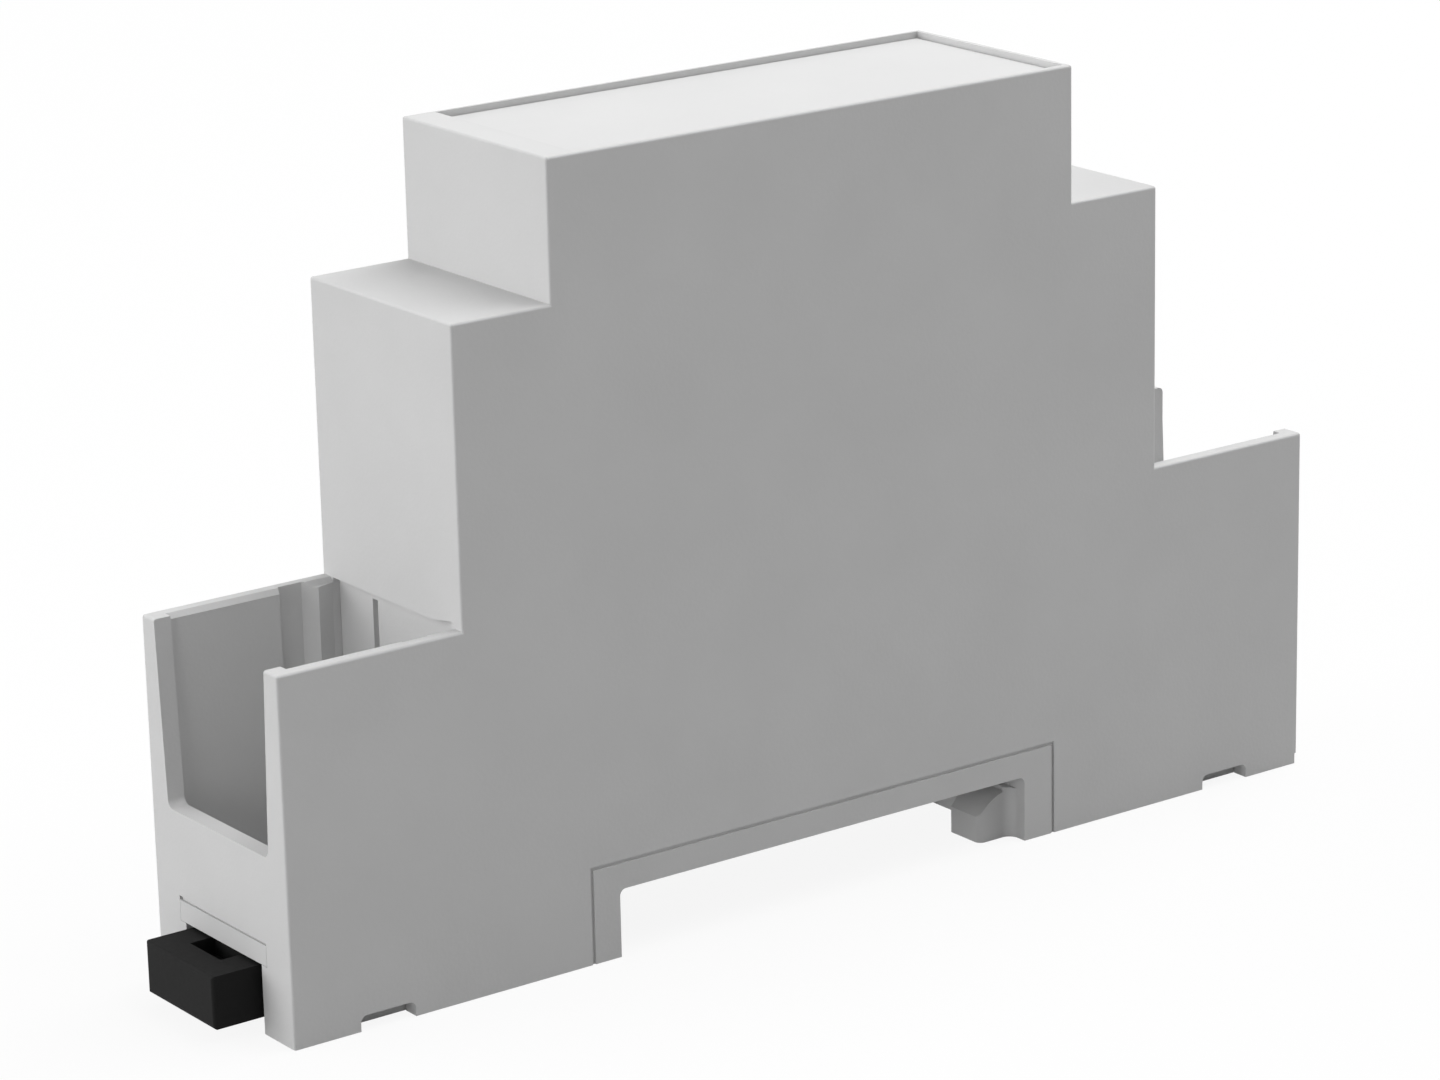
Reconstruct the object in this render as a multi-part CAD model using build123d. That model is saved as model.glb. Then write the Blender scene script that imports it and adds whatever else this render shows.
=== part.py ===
from build123d import *
import os

# One-module enclosure for a 35 mm top-hat rail, in millimetres.
# X runs along the enclosure with the latch at -X, Y runs along the rail, Z points to the front.
# The origin is the middle of the plane where the rail's flanges bear on the enclosure.

# Envelope of one module
length = 90.2
width = 17.5
front_height = 52.5
foot_depth = 5.0

# Stepped side view
plateau_length = 45.3
shoulder_length = 61.2
shoulder_height = 42.5
deck_height = 21.3

# Walls of the case
side_wall = 1.3
end_wall = 1.3
riser_wall = 1.6
shoulder_wall = 1.6
edge_radius = 0.2
bay_chamfer = 0.35

# Rim and ledge round the front panel
rim_side = 0.45
rim_latch_end = 2.5
rim_far_end = 0.5
panel_recess = 0.45
panel_thickness = 1.2
panel_edge_radius = 0.15
ledge_thickness = 1.2
ledge_end = 2.1
ledge_side = 0.8

# Clearances
fit_gap = 0.1
close_gap = 0.03
slide_gap = 0.1
barb_gap = 0.15

# Cutting shapes reach past a surface by the overcut, and joined shapes run into each other
# by the bite. Corners within the pick distance of a plane count as lying on it.
overcut = 1.0
bite = 0.5
pick = 0.01

# Rail channel of the base, between the fixed hook and the latch
hook_wall_x = 18.0
latch_wall_x = 18.4
seat_relief = 0.3
channel_wall = 1.6
channel_fillet = 0.5
floor_top = 1.9

# Flanges of the base, flush with the sides of the case, and their windows
flange_window_half = 20.85
flange_window_top = 2.15
flange_thickness = 1.5
flange_shadow_depth = 0.15

# Fixed hook under the rail's edge
rail_edge_x = 17.5
rail_thickness = 1.0
rail_play = 0.15
hook_nose_x = 15.0
hook_nose_depth = 3.0
hook_web_x = 16.4
hook_web_depth = 3.1
hook_lead_x = 15.95
hook_lead_depth = 2.03
hook_knee = 0.13
hook_knee_drop = 0.25
hook_half_width = 7.15
hook_foot_width = 3.3
hook_corner_radius = 0.55
hook_root_radius = 0.8

# Wire entries in the end walls
entry_sill = 8.0
entry_half_sill = 6.5
entry_half_top = 7.1
entry_radius = 0.6

# Lower windows of the end walls, filled by the base's tongues and open to the latch
window_half = 5.65
window_top = 1.85
window_foot_half = 4.95
shadow_width = 0.28
shadow_depth = 0.2

# Grooves and ridges down the side walls of the terminal end at the latch
groove_outer_x = 34.8
groove_flank = 0.15
groove_depth = 0.5
groove_floor_width = 1.9
ridge_rise_width = 0.85
ridge_height = 0.4
ridge_end_gap = 0.1

# Notches in the lower edges of the side walls, and the step at the foot of the end at +X
notch_x = 37.65
notch_length = 4.4
notch_depth = 1.1
notch_radius = 0.5
end_step_depth = 0.25
end_step_height = 0.8

# Feet of the base inside the ends of the case
skirt_thickness = 1.0

# Inner end walls of the base
inner_wall = 1.5
inner_wall_step = 0.5
slit_y = 2.85
slit_width = 0.65
slit_depth = 0.6
slit_foot = 1.0
slit_top_margin = 0.6
key_width = 2.4
key_height = 0.45

# Closing tongue outside the riser at +X
tongue_thickness = 1.8
tongue_rise = 5.5
tongue_radius = 0.4

# Board guides inside the ends
board_thickness = 1.6
board_play = 0.2
board_y = 4.2
guide_rib = 0.9
guide_depth = 1.5
guide_end_gap = 2.0

# Snap arms that hold the case on the base
snap_x = 12.0
snap_width = 6.0
snap_thickness = 1.2
snap_height = 8.4
barb_height = 2.0
barb_depth = 0.45

# Snap hooks under the front panel
panel_hook_y = 3.6
panel_hook_width = 3.0
panel_hook_thickness = 1.0
panel_barb_depth = 0.6
panel_barb_height = 1.4

# Rail latch and its guide
latch_width = 8.8
latch_top = -0.2
latch_bottom = -4.0
latch_reach = 3.55
jaw_reach = 2.9
jaw_nose = 1.25
jaw_chamfer = 1.5
latch_radius = 0.25
pocket_width = 4.0
pocket_length = 1.45
pocket_depth = 1.3
latch_rail = 1.9
latch_head = 4.2
latch_neck = 3.2
flex_slot = 0.55
flex_beam = 0.75
flex_length = 9.0
latch_travel = 3.2
bump_x = -32.0
bump_half_length = 1.0
bump_crest_half = 0.35
bump_height = 0.4
detent_depth = 0.55
detent_ridge = 0.1
detent_ridge_half = 0.4
guide_wall = 1.2
keeper_width = 1.1
keeper_thickness = 0.85
keeper_length = 4.0
keeper_inset = 1.6

# Sizes that follow from the ones above
half_length = length / 2
half_width = width / 2
plateau_half = plateau_length / 2
shoulder_half = shoulder_length / 2
inner_half_width = half_width - side_wall
inner_half_length = half_length - end_wall
panel_top = front_height - panel_recess
panel_seat = panel_top - panel_thickness
ledge_bottom = panel_seat - ledge_thickness
panel_opening_half = plateau_half - riser_wall - ledge_end
bay_low_x = -plateau_half + rim_latch_end
bay_high_x = plateau_half - rim_far_end
bay_half_width = half_width - rim_side
base_half_width = inner_half_width - fit_gap
base_half_length = inner_half_length - fit_gap
tongue_half = window_half - close_gap
tongue_top = window_top - close_gap
tongue_foot_half = window_foot_half - close_gap
hook_gap = rail_thickness + rail_play
inner_wall_x = shoulder_half - inner_wall_step
inner_wall_top = deck_height - fit_gap
closing_x = shoulder_half + fit_gap
closing_top = deck_height + tongue_rise
latch_half = latch_width / 2
guide_y = latch_half + slide_gap
latch_tip_x = latch_wall_x - jaw_reach
latch_end_x = half_length + latch_reach


def block(x_span, y_span, z_span):
    """Rectangular block between the given low and high values."""
    sizes = [span[1] - span[0] for span in (x_span, y_span, z_span)]
    centre = [(span[1] + span[0]) / 2 for span in (x_span, y_span, z_span)]
    return Pos(*centre) * Box(*sizes)


def outline(points):
    """Closed flat face through the given points."""
    return make_face(Polyline(*points, close=True))


def along_y(face, y_low, y_high):
    """Side view, drawn in X and Z, made solid from y_low to y_high."""
    return extrude(Plane.XZ.offset(-y_high) * face, y_high - y_low)


def along_x(face, x_low, x_high):
    """End view, drawn in Y and Z, made solid from x_low to x_high."""
    return extrude(Plane.YZ.offset(x_low) * face, x_high - x_low)


def along_z(face, z_low, z_high):
    """Plan view, drawn in X and Y, made solid from z_low to z_high."""
    return extrude(Plane.XY.offset(z_low) * face, z_high - z_low)


def both_sides(shape):
    """The shape and its mirror image across the middle plane between the sides."""
    return shape + mirror(shape, Plane.XZ)


def both_ends(shape):
    """The shape and its mirror image across the middle plane between the ends."""
    return shape + mirror(shape, Plane.YZ)


def stepped_face(plateau, shoulder, end, z_bottom, z_deck, z_shoulder, z_front):
    """Side view of the enclosure: low ends, shoulders and a raised middle."""
    right = [(end, z_bottom), (end, z_deck), (shoulder, z_deck), (shoulder, z_shoulder)]
    right += [(plateau, z_shoulder), (plateau, z_front)]
    left = [(-x, z) for x, z in reversed(right)]
    return outline(right + left)


def is_outer_edge(edge):
    """Whether a moulded edge is rounded: all but the lowest ones and the inner corners of the steps."""
    x, y, z = edge.center()
    inner_corner = abs(y) < pick and (
        abs(abs(x) - plateau_half) + abs(z - shoulder_height) < pick
        or abs(abs(x) - shoulder_half) + abs(z - deck_height) < pick
    )
    return z > -foot_depth and not inner_corner


def terminal_space():
    """Open space of the terminal end at +X, with a chamfer along the tops of its walls."""
    space = block(
        (shoulder_half, inner_half_length), (-inner_half_width, inner_half_width), (0, deck_height + overcut)
    )
    low = deck_height - bay_chamfer
    high = deck_height + overcut
    reach = inner_half_width + bay_chamfer + overcut
    chamfer = outline([(-inner_half_width, low), (inner_half_width, low), (reach, high), (-reach, high)])
    return space + along_x(chamfer, shoulder_half, inner_half_length)


def case_shell():
    """Stepped shell, open below, over the terminal ends and behind the front panel."""
    outer = along_y(
        stepped_face(
            plateau_half, shoulder_half, half_length, -foot_depth, deck_height, shoulder_height, front_height
        ),
        -half_width,
        half_width,
    )
    outer = fillet(outer.edges().filter_by(is_outer_edge), edge_radius)
    inner = along_y(
        stepped_face(
            plateau_half - riser_wall,
            shoulder_half - riser_wall,
            inner_half_length,
            -foot_depth - overcut,
            deck_height,
            shoulder_height - shoulder_wall,
            ledge_bottom,
        ),
        -inner_half_width,
        inner_half_width,
    )
    return outer - inner - both_ends(terminal_space())


def panel_bay():
    """Rebate for the front panel and the opening inside its ledge."""
    rebate = block(
        (bay_low_x, bay_high_x), (-bay_half_width, bay_half_width), (panel_seat, front_height + overcut)
    )
    opening = block(
        (-panel_opening_half, panel_opening_half),
        (-inner_half_width + ledge_side, inner_half_width - ledge_side),
        (ledge_bottom - overcut, panel_seat + bite),
    )
    return rebate + opening


def wire_entry():
    """Tapered notch with rounded lower corners through the end wall at -X."""
    rise = deck_height - entry_sill
    taper = (entry_half_top - entry_half_sill) / rise
    top_half = entry_half_top + taper * overcut
    face = outline(
        [
            (-entry_half_sill, entry_sill),
            (entry_half_sill, entry_sill),
            (top_half, deck_height + overcut),
            (-top_half, deck_height + overcut),
        ]
    )
    corners = face.vertices().filter_by(lambda v: v.Y < deck_height)
    return along_x(fillet(corners, entry_radius), -half_length - overcut, -inner_half_length + bite)


def end_window():
    """T-shaped opening at the foot of the end wall at -X: wide over the latch, narrower beside it."""
    x_span = (-half_length - overcut, -inner_half_length + bite)
    upper = block(x_span, (-window_half, window_half), (0, window_top))
    lower = block(x_span, (-window_foot_half, window_foot_half), (-foot_depth - overcut, 0))
    return upper + lower


def flange_window():
    """Opening through both side walls for the flanges of the base."""
    return block(
        (-flange_window_half, flange_window_half),
        (-width, width),
        (-foot_depth - overcut, flange_window_top),
    )


def edge_notch():
    """Notch with rounded inner corners across the lower edges of both side walls at -X."""
    low = -notch_x - notch_length / 2
    high = -notch_x + notch_length / 2
    top = -foot_depth + notch_depth
    bottom = -foot_depth - overcut
    face = outline([(low, bottom), (low, top), (high, top), (high, bottom)])
    corners = face.vertices().filter_by(lambda v: v.Y > -foot_depth)
    return along_y(fillet(corners, notch_radius), -width, width)


def end_step():
    """Shallow step across the foot of the end wall at +X."""
    return block(
        (half_length - end_step_depth, half_length + overcut),
        (-width, width),
        (-foot_depth - overcut, -foot_depth + end_step_height),
    )


def wall_groove():
    """Upright groove in the inner face of the side wall, at -X and +Y."""
    floor_y = inner_half_width + groove_depth
    start = -groove_outer_x
    floor_end = start + groove_floor_width
    slope = (groove_depth + ridge_height) / ridge_rise_width
    face = outline(
        [
            (start - groove_flank, inner_half_width),
            (start, floor_y),
            (floor_end, floor_y),
            (floor_end + groove_depth / slope, inner_half_width),
        ]
    )
    return along_z(face, floor_top, deck_height + overcut)


def wall_ridge():
    """Low ridge beside the groove in the inner face of the side wall, at -X and +Y."""
    slope = (groove_depth + ridge_height) / ridge_rise_width
    crest = -groove_outer_x + groove_floor_width + ridge_rise_width
    crest_y = inner_half_width - ridge_height
    foot_y = inner_half_width + bite
    end = -shoulder_half - ridge_end_gap
    face = outline(
        [
            (crest - ridge_height / slope, inner_half_width),
            (crest, crest_y),
            (end, inner_half_width),
            (end, foot_y),
            (crest, foot_y),
        ]
    )
    return along_z(face, floor_top + fit_gap, deck_height - bay_chamfer)


def snap_pocket():
    """Pocket in the inner face of the side wall for one barb, at +X and +Y."""
    half = snap_width / 2 + barb_gap
    top = floor_top + snap_height
    return block(
        (snap_x - half, snap_x + half),
        (inner_half_width - bite, base_half_width + barb_depth + barb_gap),
        (top - barb_height - barb_gap, top + barb_gap),
    )


def guide_pair(x_root, x_tip, z_low, z_high):
    """Two upright ribs that hold the edge of a circuit board, at +Y."""
    half_slot = (board_thickness + board_play) / 2
    near = block((x_root, x_tip), (board_y - half_slot - guide_rib, board_y - half_slot), (z_low, z_high))
    far = block((x_root, x_tip), (board_y + half_slot, board_y + half_slot + guide_rib), (z_low, z_high))
    return near + far


def case_guides():
    """Board guides inside the risers under the shoulders."""
    root = -shoulder_half + riser_wall - bite
    tip = -shoulder_half + riser_wall + guide_depth
    pair = guide_pair(root, tip, deck_height + guide_end_gap, shoulder_height - shoulder_wall + bite)
    return both_ends(both_sides(pair))


def key_face(gap):
    """End view of the wedge where the base keys into the riser's lower edge, smaller by the gap."""
    low = inner_wall_top - bite
    outer_y = -inner_half_width + gap
    inner_y = -inner_half_width + key_width - gap
    top = deck_height + key_height - gap
    return outline([(outer_y, low), (outer_y, top), (inner_y, deck_height - gap), (inner_y, low)])


def key_notch():
    """Wedge-shaped notch in the riser's lower edge at -X and -Y for the key of the base."""
    return along_x(key_face(0), -shoulder_half - overcut, -shoulder_half + riser_wall + overcut)


def make_case():
    """Case: the grey moulded shell with flush sides."""
    shell = case_shell() - panel_bay()
    shell -= both_ends(wire_entry() + end_window() + edge_notch())
    shell -= flange_window() + end_step() + key_notch()
    shell -= both_ends(both_sides(snap_pocket())) + both_sides(wall_groove())
    return shell + case_guides() + both_sides(wall_ridge())


def flange_face(gap):
    """Side view of a flange round the rail channel, smaller than its window by the gap."""
    half = flange_window_half - gap
    top = flange_window_top - gap
    side = outline(
        [
            (-half, -foot_depth),
            (-half, top),
            (half, top),
            (half, -foot_depth),
            (hook_wall_x, -foot_depth),
            (hook_wall_x, 0),
            (-latch_wall_x, 0),
            (-latch_wall_x, -foot_depth),
        ]
    )
    inner_corners = side.vertices().filter_by(lambda v: abs(v.Y) < pick)
    return fillet(inner_corners, channel_fillet)


def base_floor():
    """Floor with the two flush side flanges, which a shallow shadow groove sets off from the case."""
    floor = block(
        (-base_half_length, base_half_length), (-base_half_width, base_half_width), (seat_relief, floor_top)
    )
    groove_y = half_width - flange_shadow_depth
    flange = along_y(flange_face(close_gap), half_width - flange_thickness, groove_y)
    flange += along_y(flange_face(shadow_width), groove_y, half_width)
    return floor + both_sides(flange)


def end_bar():
    """Bar that snaps into the upper part of the end window at +X, with a shadow groove along its top."""
    groove_x = half_length - shadow_depth
    core = block((base_half_length - bite, groove_x), (-tongue_half, tongue_half), (close_gap, tongue_top))
    face = block(
        (groove_x, half_length), (-tongue_half, tongue_half), (close_gap, tongue_top - shadow_width)
    )
    return core + face


def foot_tongue():
    """Plain tongue that fills the lower part of the end window at +X."""
    return block(
        (base_half_length - bite, half_length), (-tongue_foot_half, tongue_foot_half), (-foot_depth, bite)
    )


def foot_skirts():
    """Walls inside the sides of the case that carry both feet of the base."""
    y_span = (base_half_width - skirt_thickness, base_half_width)
    z_span = (-foot_depth, floor_top)
    hook_side = block((hook_wall_x, base_half_length), y_span, z_span)
    latch_side = block((-base_half_length, -latch_wall_x), y_span, z_span)
    return both_sides(hook_side + latch_side)


def channel_walls():
    """Cross walls that close the rail channel at both feet, with the gate for the latch."""
    y_span = (-half_width + flange_thickness, half_width - flange_thickness)
    z_span = (-foot_depth, floor_top)
    hook_side = block((hook_wall_x, hook_wall_x + channel_wall), y_span, z_span)
    latch_side = block((-latch_wall_x - channel_wall, -latch_wall_x), y_span, z_span)
    gate = block(
        (-latch_wall_x - channel_wall - overcut, -latch_wall_x + overcut),
        (-guide_y, guide_y),
        (latch_bottom - slide_gap, 0),
    )
    return hook_side + (latch_side - gate)


def hook_face(bottom):
    """Side view of the fixed hook with its rounded lead-in, down to the given height."""
    nose = (hook_nose_x, -hook_nose_depth)
    lead = (hook_lead_x, -hook_lead_depth)
    knee = (rail_edge_x - hook_knee, -hook_gap - hook_knee_drop)
    root_x = hook_wall_x + bite
    curve = ThreePointArc(nose, lead, knee)
    rest = Polyline(
        knee, (rail_edge_x, -hook_gap), (root_x, -hook_gap), (root_x, bottom), (hook_nose_x, bottom), nose
    )
    return make_face([curve, rest])


def hook_root():
    """Rounded inner corner between a foot of the hook and the flange, at +Y."""
    corner = (hook_wall_x, hook_half_width)
    start = (hook_wall_x, hook_half_width + hook_root_radius)
    end = (hook_wall_x - hook_root_radius, hook_half_width)
    arc_centre = (hook_wall_x - hook_root_radius, hook_half_width + hook_root_radius)
    chord = hook_root_radius / 2**0.5
    middle = (arc_centre[0] + chord, arc_centre[1] - chord)
    face = make_face([ThreePointArc(start, middle, end), Polyline(end, corner, start)])
    return along_z(face, -foot_depth, -hook_gap)


def fixed_hook():
    """Hook under the rail's edge: one web across the base on two feet with rounded corners."""
    web = along_y(hook_face(-hook_web_depth), -hook_half_width, hook_half_width)
    web -= block(
        (hook_nose_x - overcut, hook_web_x), (-width, width), (-hook_web_depth - overcut, overcut)
    )
    foot = along_y(hook_face(-foot_depth), hook_half_width - hook_foot_width, hook_half_width)
    nose_corner = foot.edges().filter_by(
        lambda e: e.center().X < hook_nose_x + pick and e.center().Y > hook_half_width - pick
    )
    foot = fillet(nose_corner, hook_corner_radius) + hook_root()
    return web + both_sides(foot)


def detent_pocket():
    """Recess in the latch guide with a low ridge between the shut and open seats, at +Y."""
    low = bump_x - latch_travel - bump_half_length - slide_gap
    high = bump_x + bump_half_length + slide_gap
    recess = block((low, high), (guide_y - bite, guide_y + detent_depth), (latch_bottom, 0))
    middle = bump_x - latch_travel / 2
    ridge_face = outline(
        [
            (middle - detent_ridge_half, guide_y + detent_depth),
            (middle, guide_y + detent_depth - detent_ridge),
            (middle + detent_ridge_half, guide_y + detent_depth),
        ]
    )
    return recess - along_z(ridge_face, latch_bottom, 0)


def keeper(x_low):
    """Ledge under the latch that keeps it in the guide, at +Y."""
    return block(
        (x_low, x_low + keeper_length),
        (guide_y - keeper_width, guide_y + guide_wall),
        (-foot_depth, -foot_depth + keeper_thickness),
    )


def latch_guide():
    """Two guide walls with keepers and detent recesses under the floor at -X."""
    wall = block(
        (-base_half_length, -latch_wall_x - bite),
        (guide_y, guide_y + guide_wall),
        (-foot_depth, floor_top),
    )
    runner = block(
        (-base_half_length, -latch_wall_x - bite),
        (guide_y - keeper_width, guide_y + guide_wall),
        (0, floor_top),
    )
    outer_keeper = keeper(-base_half_length + keeper_inset)
    inner_keeper = keeper(-latch_wall_x - channel_wall - keeper_inset - keeper_length)
    side = wall - detent_pocket() + runner + outer_keeper + inner_keeper
    return both_sides(side)


def foot_ribs():
    """Two ribs that stiffen the foot at +X."""
    rib = block(
        (hook_wall_x + bite, base_half_length),
        (guide_y, guide_y + guide_wall),
        (-foot_depth, floor_top),
    )
    return both_sides(rib)


def inner_end_wall():
    """Wall between the board space and the terminals at -X, with a narrow groove and a key on top."""
    half = inner_half_width - close_gap
    wall = block(
        (-inner_wall_x, -inner_wall_x + inner_wall), (-half, half), (floor_top - bite, inner_wall_top)
    )
    key = along_x(key_face(close_gap), -inner_wall_x, -inner_wall_x + inner_wall)
    slit = block(
        (-inner_wall_x - overcut, -inner_wall_x + slit_depth),
        (slit_y - slit_width / 2, slit_y + slit_width / 2),
        (floor_top + slit_foot, deck_height - slit_top_margin),
    )
    return wall + key - slit


def closing_tongue():
    """Wall at +X that closes the board space and clips over the outside of the riser."""
    outer_x = closing_x + tongue_thickness
    bottom = floor_top - bite
    face = outline([(closing_x, bottom), (closing_x, closing_top), (outer_x, closing_top), (outer_x, bottom)])
    corners = face.vertices().filter_by(lambda v: v.Y > closing_top - pick)
    return along_y(fillet(corners, tongue_radius), -base_half_width, base_half_width)


def base_guides():
    """Board guides on the inner faces of the base's two upright walls."""
    bottom = floor_top - bite
    top = deck_height - guide_end_gap
    wall_face = -inner_wall_x + inner_wall
    left = guide_pair(wall_face - bite, wall_face + guide_depth, bottom, top)
    right = guide_pair(closing_x - guide_depth, closing_x + bite, bottom, top)
    return both_sides(left + right)


def snap_arm():
    """Upright arm whose barb holds the case, at +X and +Y."""
    bottom = floor_top - bite
    top = floor_top + snap_height
    inner_y = base_half_width - snap_thickness
    face = outline(
        [
            (inner_y, bottom),
            (inner_y, top),
            (base_half_width, top),
            (base_half_width + barb_depth, top - barb_height),
            (base_half_width, top - barb_height),
            (base_half_width, bottom),
        ]
    )
    return along_x(face, snap_x - snap_width / 2, snap_x + snap_width / 2)


def make_base():
    """Base: floor, rail channel, fixed hook, latch guide and inner walls."""
    base = base_floor() + channel_walls() + both_ends(end_bar()) + foot_tongue() + fixed_hook()
    base += latch_guide() + foot_ribs() + foot_skirts()
    base += inner_end_wall() + closing_tongue() + base_guides()
    return base + both_ends(both_sides(snap_arm()))


def panel_hook():
    """Snap hook that catches under the ledge, at +X and +Y."""
    outer_x = panel_opening_half - fit_gap
    catch = ledge_bottom - fit_gap
    root = panel_seat + bite
    face = outline(
        [
            (outer_x - panel_hook_thickness, root),
            (outer_x - panel_hook_thickness, catch - panel_barb_height),
            (outer_x, catch - panel_barb_height),
            (outer_x + panel_barb_depth, catch),
            (outer_x, catch),
            (outer_x, root),
        ]
    )
    return along_y(face, panel_hook_y - panel_hook_width / 2, panel_hook_y + panel_hook_width / 2)


def make_front_panel():
    """Front panel: a plain plate held by four snap hooks."""
    half = bay_half_width - fit_gap
    plate = block((bay_low_x + fit_gap, bay_high_x - fit_gap), (-half, half), (panel_seat, panel_top))
    plate = fillet(plate.edges().group_by(Axis.Z)[-1], panel_edge_radius)
    return plate + both_ends(both_sides(panel_hook()))


def latch_body():
    """Side view of the latch: a block with a jaw that grips under the rail's edge."""
    jaw_top = -hook_gap
    step_x = -latch_wall_x - slide_gap
    face = outline(
        [
            (-latch_end_x, latch_bottom),
            (-latch_tip_x - jaw_chamfer, latch_bottom),
            (-latch_tip_x, jaw_top - jaw_nose),
            (-latch_tip_x, jaw_top),
            (step_x, jaw_top),
            (step_x, latch_top),
            (-latch_end_x, latch_top),
        ]
    )
    return along_y(face, -latch_half, latch_half)


def latch_bump():
    """Bevelled detent bump on the flexing side of the latch, at +Y."""
    root_y = latch_half - flex_beam / 2
    crest_y = latch_half + bump_height
    face = outline(
        [
            (bump_x - bump_half_length, root_y),
            (bump_x - bump_half_length, latch_half),
            (bump_x - bump_crest_half, crest_y),
            (bump_x + bump_crest_half, crest_y),
            (bump_x + bump_half_length, latch_half),
            (bump_x + bump_half_length, root_y),
        ]
    )
    return along_z(face, latch_bottom, latch_top)


def make_latch():
    """Rail latch: black slider with a finger end, flexing sides and a jaw."""
    body = latch_body()
    grip_end = body.edges().filter_by(lambda e: e.center().X < -latch_end_x + pick)
    body = fillet(grip_end, latch_radius) + both_sides(latch_bump())
    through = (latch_bottom - overcut, latch_top + overcut)
    window = block(
        (-base_half_length + latch_head, -latch_wall_x - latch_neck),
        (-latch_half + latch_rail, latch_half - latch_rail),
        through,
    )
    slot = block(
        (bump_x - flex_length / 2, bump_x + flex_length / 2),
        (latch_half - flex_beam - flex_slot, latch_half - flex_beam),
        through,
    )
    tool_pocket = block(
        (-half_length - pocket_length, -half_length + bite),
        (-pocket_width / 2, pocket_width / 2),
        (latch_top - pocket_depth, latch_top + overcut),
    )
    return body - window - both_sides(slot) - tool_pocket


def main():
    os.makedirs("parts", exist_ok=True)
    pieces = {
        "case": make_case(),
        "base": make_base(),
        "front_panel": make_front_panel(),
        "rail_latch": make_latch(),
    }
    for name, shape in pieces.items():
        export_step(shape, f"parts/{name}.step")


main()
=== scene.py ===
"""Looks of the one-module rail enclosure: moulded finishes, studio and camera.

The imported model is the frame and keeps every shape. This script gives each moulded piece its
finish and sets the studio round it. Lengths here are metres unless a name ends in _mm.
"""

import logging
from dataclasses import dataclass, field
from enum import Enum
from math import pi, radians
from typing import Any

import bmesh
import bpy
from mathutils import Matrix, Vector


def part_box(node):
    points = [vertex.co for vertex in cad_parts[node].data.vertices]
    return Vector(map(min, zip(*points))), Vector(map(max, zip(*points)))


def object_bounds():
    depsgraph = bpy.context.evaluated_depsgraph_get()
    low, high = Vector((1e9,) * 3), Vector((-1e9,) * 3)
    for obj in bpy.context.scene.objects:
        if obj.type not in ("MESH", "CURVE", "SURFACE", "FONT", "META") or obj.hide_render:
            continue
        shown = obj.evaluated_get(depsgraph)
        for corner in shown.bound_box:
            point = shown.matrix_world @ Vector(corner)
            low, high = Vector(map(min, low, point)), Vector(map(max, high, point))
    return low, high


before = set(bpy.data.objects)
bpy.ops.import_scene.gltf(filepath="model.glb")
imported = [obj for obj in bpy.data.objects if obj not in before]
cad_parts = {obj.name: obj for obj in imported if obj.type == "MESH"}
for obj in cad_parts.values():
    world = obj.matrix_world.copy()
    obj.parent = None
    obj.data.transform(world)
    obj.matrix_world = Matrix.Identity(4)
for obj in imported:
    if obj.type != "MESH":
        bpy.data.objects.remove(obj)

MM = 0.001
WHITE = (1.0, 1.0, 1.0, 1.0)
CAD_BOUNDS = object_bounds()

log = logging.getLogger("enclosure")


class Skin(Enum):
    """How the mould's steel was finished, which sets the grain of the plastic."""

    SPARK_ERODED = "spark-eroded"
    FINE_STONED = "fine-stoned"


def linear_colour(hex_code: str) -> tuple[float, float, float, float]:
    """Turn an sRGB hex colour into the linear values that a shader takes.

    Args:
        hex_code: Six hex digits, such as "CDCDCD".

    Returns:
        Linear red, green and blue, with an alpha of 1.
    """
    channels = []
    for start in (0, 2, 4):
        value = int(hex_code[start : start + 2], 16) / 255
        channels.append(value / 12.92 if value <= 0.04045 else ((value + 0.055) / 1.055) ** 2.4)
    return (*channels, 1.0)


def add_node(
    tree: bpy.types.NodeTree,
    kind: str,
    settings: dict[str, Any] | None = None,
    links: dict[str | int, bpy.types.NodeSocket] | None = None,
) -> bpy.types.Node:
    """Add one node, set it up and link its inputs.

    Args:
        tree: The node tree that gets the node.
        kind: The node's type name, without "ShaderNode".
        settings: Values by input name, or by property name where no input has that name.
        links: Output sockets by the name or number of the input that each one feeds.

    Returns:
        The new node.
    """
    node = tree.nodes.new("ShaderNode" + kind)
    for name, value in (settings or {}).items():
        if name in node.inputs:
            node.inputs[name].default_value = value
        else:
            setattr(node, name, value)
    for name, source in (links or {}).items():
        tree.links.new(source, node.inputs[name])
    return node


def seen_ray(tree: bpy.types.NodeTree) -> bpy.types.NodeSocket:
    """Add the test for rays that show the surround: from the camera, a mirror or glass.

    Args:
        tree: The node tree that gets the test.

    Returns:
        A value of 1 for such rays and 0 for the rest.
    """
    rays = add_node(tree, "LightPath").outputs
    either = add_node(
        tree,
        "Math",
        {"operation": "MAXIMUM"},
        {0: rays["Is Camera Ray"], 1: rays["Is Glossy Ray"]},
    )
    any_of = add_node(
        tree,
        "Math",
        {"operation": "MAXIMUM"},
        {0: either.outputs[0], 1: rays["Is Transmission Ray"]},
    )
    return any_of.outputs[0]


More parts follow.
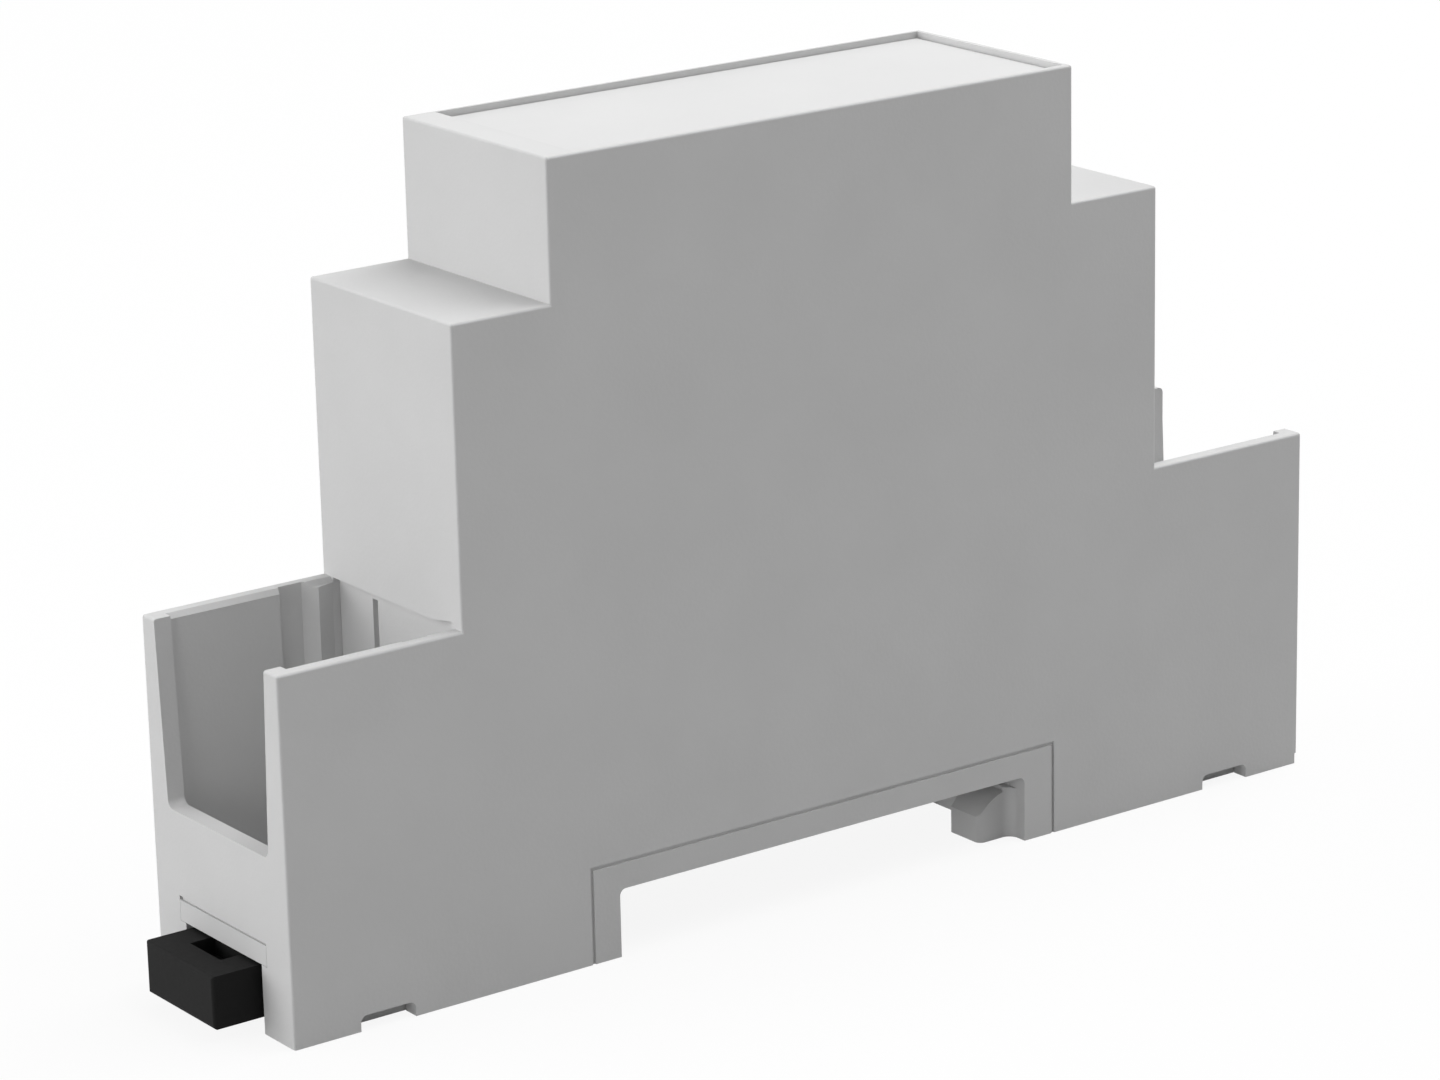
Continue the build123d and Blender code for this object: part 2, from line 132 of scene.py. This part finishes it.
@dataclass(frozen=True)
class MouldedPlastic:
    """A finish of injection-moulded plastic: faint clouding and the grain of the mould."""

    name: str
    colour: str
    cloud_colour: str
    roughness: float
    skin: Skin
    grain_mm: float
    grain_depth_mm: float
    roughness_spread: float = 0.04
    specular: float = 0.5
    ior: float = 1.53
    cloud_mm: float = 9.0
    # Noise keeps mostly to its middle, so this part of it is stretched over both colours.
    cloud_low: float = 0.35
    cloud_high: float = 0.65

    def build(self) -> bpy.types.Material:
        """Make the material.

        Returns:
            The material, ready for a slot.
        """
        material = bpy.data.materials.new(self.name)
        material.use_nodes = True
        tree = material.node_tree
        tree.nodes.clear()
        place = add_node(tree, "TexCoord").outputs["Object"]
        grain = self.grain(tree, place)
        bump = add_node(
            tree,
            "Bump",
            {"Strength": 1.0, "Distance": self.grain_depth_mm * MM},
            {"Height": grain},
        )
        sheen = add_node(
            tree,
            "MapRange",
            {
                "To Min": self.roughness - self.roughness_spread,
                "To Max": self.roughness + self.roughness_spread,
            },
            {"Value": grain},
        )
        shader = add_node(
            tree,
            "BsdfPrincipled",
            {"IOR": self.ior, "Specular IOR Level": self.specular},
            {
                "Base Color": self.clouding(tree, place),
                "Roughness": sheen.outputs["Result"],
                "Normal": bump.outputs["Normal"],
            },
        )
        add_node(tree, "OutputMaterial", links={"Surface": shader.outputs["BSDF"]})
        return material

    def clouding(self, tree: bpy.types.NodeTree, place: bpy.types.NodeSocket) -> bpy.types.NodeSocket:
        """Add the faint clouds that the melt leaves as it fills the mould.

        Args:
            tree: The material's node tree.
            place: Object coordinates.

        Returns:
            The plastic's colour.
        """
        clouds = add_node(
            tree,
            "TexNoise",
            {"Scale": 1 / (self.cloud_mm * MM), "Detail": 3.0, "Roughness": 0.5},
            {"Vector": place},
        )
        spread = add_node(
            tree,
            "MapRange",
            {"From Min": self.cloud_low, "From Max": self.cloud_high},
            {"Value": clouds.outputs["Fac"]},
        )
        colour = add_node(tree, "ValToRGB", links={"Fac": spread.outputs["Result"]})
        colour.color_ramp.elements[0].color = linear_colour(self.colour)
        colour.color_ramp.elements[1].color = linear_colour(self.cloud_colour)
        return colour.outputs["Color"]

    def grain(self, tree: bpy.types.NodeTree, place: bpy.types.NodeSocket) -> bpy.types.NodeSocket:
        """Add the pattern of the mould's skin.

        Args:
            tree: The material's node tree.
            place: Object coordinates.

        Returns:
            The pattern's height, from 0 to 1.
        """
        scale = 1 / (self.grain_mm * MM)
        if self.skin is Skin.SPARK_ERODED:
            # Spark erosion leaves rounded craters that touch each other.
            craters = add_node(
                tree,
                "TexVoronoi",
                {"feature": "F1", "Scale": scale},
                {"Vector": place},
            )
            return craters.outputs["Distance"]
        marks = add_node(
            tree,
            "TexNoise",
            {"Scale": scale, "Detail": 2.0, "Roughness": 0.6},
            {"Vector": place},
        )
        return marks.outputs["Fac"]


# Light grey ABS off spark-eroded steel: an even, matt surface that looks almost chalky.
# The true grain is about 0.05 mm, too fine to show, so it is drawn at 0.3 mm.
CASE_GREY = MouldedPlastic(
    name="abs_case_light_grey",
    colour="CDCDCD",
    cloud_colour="CACACA",
    roughness=0.62,
    skin=Skin.SPARK_ERODED,
    grain_mm=0.3,
    grain_depth_mm=0.006,
)
# The base is the same ABS from another mould, a shade darker and about as matt.
BASE_GREY = MouldedPlastic(
    name="abs_base_light_grey",
    colour="CBCBCB",
    cloud_colour="C8C8C8",
    roughness=0.6,
    skin=Skin.SPARK_ERODED,
    grain_mm=0.3,
    grain_depth_mm=0.006,
)
# The front panel comes off stoned steel: the same ABS, smoother, with a softer sheen.
# The stone's marks are about 0.1 mm, and they are drawn at 0.5 mm to show.
PANEL_GREY = MouldedPlastic(
    name="abs_panel_light_grey",
    colour="CFCFCF",
    cloud_colour="CDCDCD",
    roughness=0.57,
    skin=Skin.FINE_STONED,
    grain_mm=0.5,
    grain_depth_mm=0.003,
)
# Black acetal off stoned steel: a deep, dull black that looks waxy and hardly shines.
# The stone's marks are drawn at 0.4 mm to show.
LATCH_BLACK = MouldedPlastic(
    name="acetal_latch_black",
    colour="1B1B1B",
    cloud_colour="1E1E1E",
    roughness=0.7,
    skin=Skin.FINE_STONED,
    grain_mm=0.4,
    grain_depth_mm=0.004,
    specular=0.09,
)


@dataclass
class MouldedPiece:
    """One moulded piece of the frame and the finish that it takes."""

    node: str
    finish: MouldedPlastic

    def dress(self) -> None:
        """Give the node its finish."""
        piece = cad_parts[self.node]
        piece.data.materials.clear()
        piece.data.materials.append(self.finish.build())
        for polygon in piece.data.polygons:
            polygon.material_index = 0
        low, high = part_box(self.node)
        size_mm = (high - low) / MM
        log.info("%s: %s, %.1f x %.1f x %.1f mm", self.node, self.finish.name, *size_mm)


@dataclass
class Housing:
    """Case, base and front panel, which stay together on the rail."""

    pieces: list[MouldedPiece] = field(
        default_factory=lambda: [
            MouldedPiece("case", CASE_GREY),
            MouldedPiece("base", BASE_GREY),
            MouldedPiece("front_panel", PANEL_GREY),
        ]
    )

    def build(self) -> None:
        """Dress the pieces of the housing."""
        for piece in self.pieces:
            piece.dress()


@dataclass
class RailLatch:
    """The black latch that slides under the rail's edge."""

    piece: MouldedPiece = field(default_factory=lambda: MouldedPiece("rail_latch", LATCH_BLACK))

    def build(self) -> None:
        """Dress the latch."""
        self.piece.dress()


@dataclass(frozen=True)
class Softbox:
    """A square soft lamp that looks at the object."""

    name: str
    place: tuple[float, float, float]
    side: float
    level: float

    def build(self, target: Vector) -> None:
        """Hang the lamp and turn it to the target.

        Args:
            target: The point that the lamp looks at.
        """
        data = bpy.data.lights.new(self.name, "AREA")
        data.shape = "SQUARE"
        data.size = self.side
        reach = Vector(self.place) - target
        # A white surface that faces the lamp renders at the lamp's level.
        data.energy = self.level * pi**2 * reach.length_squared
        lamp = bpy.data.objects.new(self.name, data)
        turn = reach.to_track_quat("Z", "Y").to_matrix().to_4x4()
        lamp.matrix_world = Matrix.Translation(self.place) @ turn
        bpy.context.scene.collection.objects.link(lamp)
        log.info("%s: level %.2f", self.name, self.level)


# The key hangs high beyond the hook's end, and sets the level of the panel and the near side.
KEY_LAMP = Softbox("key_lamp", place=(0.72, -0.125, 1.2), side=1.5, level=1.16)
# The overhead lamp lifts the shoulders that the key leaves in the shade of the risers.
OVERHEAD_LAMP = Softbox("overhead_lamp", place=(0.15, -0.05, 1.3), side=0.9, level=0.14)
# The end lamp stands beyond the latch's end, on the far side, and lights end wall and risers.
END_LAMP = Softbox("end_lamp", place=(-1.08, 0.85, 0.42), side=1.3, level=0.73)
# The low lamp stands beyond the same end, and reaches latch, terminal bay and rail channel.
LOW_LAMP = Softbox("low_lamp", place=(-1.3, -0.32, 0.1), side=0.9, level=0.43)


@dataclass
class Studio:
    """Plain pale floor, soft lamps and a white surround."""

    lamps: tuple[Softbox, ...] = (KEY_LAMP, OVERHEAD_LAMP, END_LAMP, LOW_LAMP)
    surround_level: float = 0.18
    floor_half: float = 3.0
    floor_gap_mm: float = 0.02
    # The camera sees pale paper, and the light that it throws back is that of a darker one.
    floor_colour: str = "E7E7E7"
    floor_bounce_colour: str = "A8A8A8"
    # This share of the paper's look is plain white, and the rest takes light and shadow.
    floor_white_share: float = 0.9

    def build(self) -> None:
        """Set up the surround, the lamps and the floor."""
        low, high = CAD_BOUNDS
        centre = (Vector(low) + Vector(high)) / 2
        self.surround()
        for lamp in self.lamps:
            lamp.build(centre)
        self.floor(low[2])

    def surround(self) -> None:
        """Light the object with an even grey, and show white to the camera and to reflections."""
        world = bpy.data.worlds.new("surround")
        bpy.context.scene.world = world
        world.use_nodes = True
        tree = world.node_tree
        tree.nodes.clear()
        seen = seen_ray(tree)
        fill = add_node(tree, "Background", {"Color": WHITE, "Strength": self.surround_level})
        white = add_node(tree, "Background", {"Color": WHITE, "Strength": 1.0})
        mixed = add_node(tree, "MixShader", links={0: seen, 1: fill.outputs[0], 2: white.outputs[0]})
        add_node(tree, "OutputWorld", links={"Surface": mixed.outputs[0]})

    def floor(self, height: float) -> None:
        """Lay the floor under the object.

        Args:
            height: The level of the object's lowest point.
        """
        mesh = bpy.data.meshes.new("studio_floor")
        plane = bmesh.new()
        bmesh.ops.create_grid(plane, x_segments=2, y_segments=2, size=self.floor_half)
        bmesh.ops.translate(plane, verts=plane.verts, vec=(0, 0, height - self.floor_gap_mm * MM))
        plane.to_mesh(mesh)
        plane.free()
        floor = bpy.data.objects.new("studio_floor", mesh)
        bpy.context.scene.collection.objects.link(floor)
        mesh.materials.append(self.paper())

    def paper(self) -> bpy.types.Material:
        """Make the floor's pale paper, which keeps the object's shadow.

        Returns:
            The floor's material.
        """
        material = bpy.data.materials.new("studio_paper")
        material.use_nodes = True
        tree = material.node_tree
        tree.nodes.clear()
        seen = seen_ray(tree)
        tone = add_node(tree, "ValToRGB", links={"Fac": seen})
        tone.color_ramp.elements[0].color = linear_colour(self.floor_bounce_colour)
        tone.color_ramp.elements[1].color = linear_colour(self.floor_colour)
        matt = add_node(tree, "BsdfDiffuse", links={"Color": tone.outputs["Color"]})
        glow = add_node(tree, "Emission", {"Strength": 1.0})
        share = add_node(tree, "MapRange", {"To Max": self.floor_white_share}, {"Value": seen})
        paper = add_node(
            tree,
            "MixShader",
            links={0: share.outputs["Result"], 1: matt.outputs[0], 2: glow.outputs[0]},
        )
        # From below the paper is clear, so that the underside can be looked at.
        below = add_node(tree, "NewGeometry").outputs["Backfacing"]
        clear = add_node(tree, "BsdfTransparent")
        sided = add_node(tree, "MixShader", links={0: below, 1: paper.outputs[0], 2: clear.outputs[0]})
        add_node(tree, "OutputMaterial", links={"Surface": sided.outputs[0]})
        return material


@dataclass(frozen=True)
class PhotoCamera:
    """The camera at the photograph's viewing angle, for an image of 1440 x 1080."""

    place_mm: tuple[float, float, float] = (-203.33, -275.94, 123.64)
    heading_deg: float = 36.005
    pitch_deg: float = -16.862
    roll_deg: float = -1.263
    lens_mm: float = 124.985
    sensor_mm: float = 36.0
    clip_start: float = 0.01

    def build(self) -> None:
        """Put the camera in the scene and make it the active one."""
        data = bpy.data.cameras.new("photo_camera")
        data.sensor_fit = "HORIZONTAL"
        data.sensor_width = self.sensor_mm
        data.lens = self.lens_mm
        data.clip_start = self.clip_start
        camera = bpy.data.objects.new("photo_camera", data)
        turn = Matrix.Rotation(radians(-self.heading_deg), 4, "Z")
        tilt = Matrix.Rotation(radians(90 + self.pitch_deg), 4, "X")
        roll = Matrix.Rotation(radians(self.roll_deg), 4, "Z")
        camera.matrix_world = Matrix.Translation(Vector(self.place_mm) * MM) @ turn @ tilt @ roll
        bpy.context.scene.collection.objects.link(camera)
        bpy.context.scene.camera = camera
        log.info("camera: lens %.1f mm", self.lens_mm)


def main() -> None:
    """Dress the enclosure and set the studio."""
    logging.basicConfig(level=logging.INFO, format="%(message)s")
    bpy.context.scene.view_settings.view_transform = "Standard"
    Housing().build()
    RailLatch().build()
    Studio().build()
    PhotoCamera().build()


if __name__ == "__main__":
    main()
